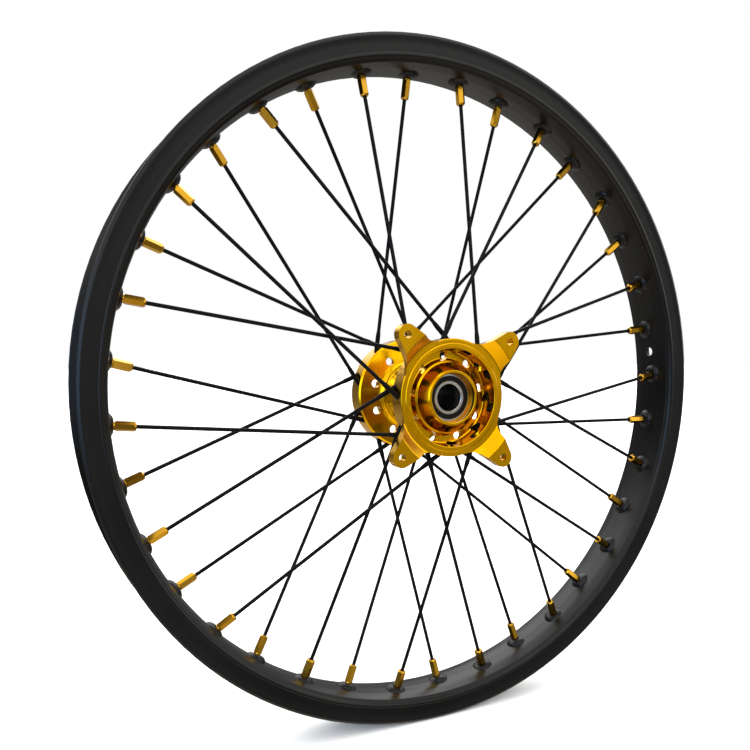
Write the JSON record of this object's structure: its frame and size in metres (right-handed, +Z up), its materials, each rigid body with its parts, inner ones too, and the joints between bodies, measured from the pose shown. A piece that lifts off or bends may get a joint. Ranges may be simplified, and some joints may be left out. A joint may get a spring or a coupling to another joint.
{
  "type": "spoked motorcycle wheel",
  "caption": "Bare wire-spoked motorcycle front wheel: black drop-centre rim, crossed black spokes, gold nipples and a gold hub with lugs for a brake disc.",
  "frame": {"origin": "wheel centre: on the axle bore axis, midway between the rim flanges and midway between the two bearings", "axes": "+Y along the axle, away from the brake disc side, which faces -Y; +Z up; +X to the right as seen from the brake disc side"},
  "size_m": [0.561, 0.1015, 0.561],
  "materials": {
    "rim_black_anodised": "satin black anodised aluminium extrusion",
    "hub_gold_anodised": "bright gold anodised machined aluminium",
    "nipple_gold_anodised": "gold anodised aluminium",
    "spoke_black_steel": "black coated steel wire",
    "seal_rubber": "moulded nitrile rubber",
    "spacer_black_anodised": "black anodised aluminium tube",
    "cage_steel": "pressed steel",
    "bearing_steel": "ground bearing steel"
  },
  "bodies": {
    "axle_group": {"bearing_inner_race_disc_side": "bearing_steel", "bearing_inner_race_far_side": "bearing_steel", "bearing_spacer_tube": "spacer_black_anodised"},
    "wheel": {"bearing_inboard_seal_disc_side": "seal_rubber", "bearing_inboard_seal_far_side": "seal_rubber", "bearing_outboard_seal_disc_side": "seal_rubber", "bearing_outboard_seal_far_side": "seal_rubber", "bearing_outer_race_disc_side": "bearing_steel", "bearing_outer_race_far_side": "bearing_steel", "hub_shell": "hub_gold_anodised", "rim": "rim_black_anodised", "spoke_disc_inner_1": "spoke_black_steel", "spoke_disc_inner_2": "spoke_black_steel", "spoke_disc_inner_3": "spoke_black_steel", "spoke_disc_inner_4": "spoke_black_steel", "spoke_disc_inner_5": "spoke_black_steel", "spoke_disc_inner_6": "spoke_black_steel", "spoke_disc_inner_7": "spoke_black_steel", "spoke_disc_inner_8": "spoke_black_steel", "spoke_disc_inner_9": "spoke_black_steel", "spoke_disc_outer_1": "spoke_black_steel", "spoke_disc_outer_2": "spoke_black_steel", "spoke_disc_outer_3": "spoke_black_steel", "spoke_disc_outer_4": "spoke_black_steel", "spoke_disc_outer_5": "spoke_black_steel", "spoke_disc_outer_6": "spoke_black_steel", "spoke_disc_outer_7": "spoke_black_steel", "spoke_disc_outer_8": "spoke_black_steel", "spoke_disc_outer_9": "spoke_black_steel", "spoke_far_inner_1": "spoke_black_steel", "spoke_far_inner_2": "spoke_black_steel", "spoke_far_inner_3": "spoke_black_steel", "spoke_far_inner_4": "spoke_black_steel", "spoke_far_inner_5": "spoke_black_steel", "spoke_far_inner_6": "spoke_black_steel", "spoke_far_inner_7": "spoke_black_steel", "spoke_far_inner_8": "spoke_black_steel", "spoke_far_inner_9": "spoke_black_steel", "spoke_far_outer_1": "spoke_black_steel", "spoke_far_outer_2": "spoke_black_steel", "spoke_far_outer_3": "spoke_black_steel", "spoke_far_outer_4": "spoke_black_steel", "spoke_far_outer_5": "spoke_black_steel", "spoke_far_outer_6": "spoke_black_steel", "spoke_far_outer_7": "spoke_black_steel", "spoke_far_outer_8": "spoke_black_steel", "spoke_far_outer_9": "spoke_black_steel", "spoke_nipples": "nipple_gold_anodised"},
    "balls_disc_side": {"bearing_balls_disc_side": "bearing_steel", "bearing_cage_disc_side": "cage_steel"},
    "balls_far_side": {"bearing_balls_far_side": "bearing_steel", "bearing_cage_far_side": "cage_steel"}
  },
  "joints": [
    {"name": "wheel_spin", "type": "hinge", "parent": "axle_group", "child": "wheel", "pos_m": [0, 0, 0], "axis": [0, 1, 0], "continuous": true},
    {"name": "disc_side_balls_spin", "type": "hinge", "parent": "axle_group", "child": "balls_disc_side", "pos_m": [0, -0.036, 0], "axis": [0, 1, 0], "continuous": true},
    {"name": "far_side_balls_spin", "type": "hinge", "parent": "axle_group", "child": "balls_far_side", "pos_m": [0, 0.036, 0], "axis": [0, 1, 0], "continuous": true}
  ],
  "couplings": [
    {"joint": "disc_side_balls_spin", "follows": "wheel_spin", "ratio": 0.578},
    {"joint": "far_side_balls_spin", "follows": "wheel_spin", "ratio": 0.578}
  ]
}
